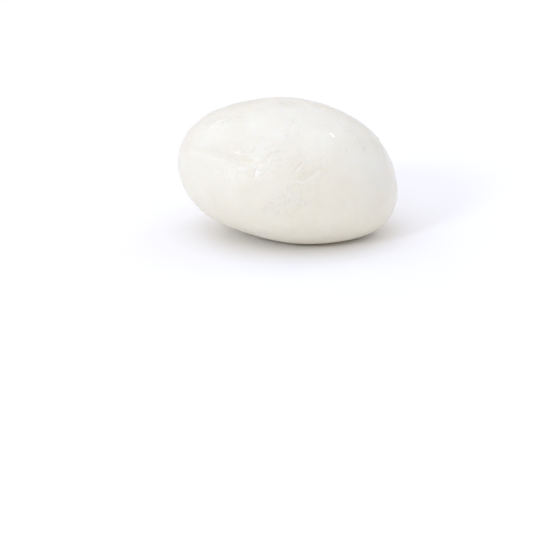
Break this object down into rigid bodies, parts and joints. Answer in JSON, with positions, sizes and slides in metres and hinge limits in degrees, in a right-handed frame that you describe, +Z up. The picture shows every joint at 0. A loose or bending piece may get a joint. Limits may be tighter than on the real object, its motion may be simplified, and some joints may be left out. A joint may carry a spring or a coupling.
{
  "type": "mozzarella ball",
  "caption": "Soft white ball of fresh mozzarella: a squashed, slightly tilted egg with a fold, fine wrinkles and a damp satin skin, lying on a small flat patch.",
  "frame": {"origin": "centre of the bounding box's base, on the surface that the ball lies on", "axes": "+X along the ball's long axis, towards its blunt, lower right end; -Y the front with the fold; +Z up, across the ball's shortest way"},
  "size_m": [0.0748, 0.0626, 0.0458],
  "materials": {
    "mozzarella": null
  },
  "bodies": {
    "root": {"mozzarella_ball": "mozzarella"}
  },
  "joints": []
}
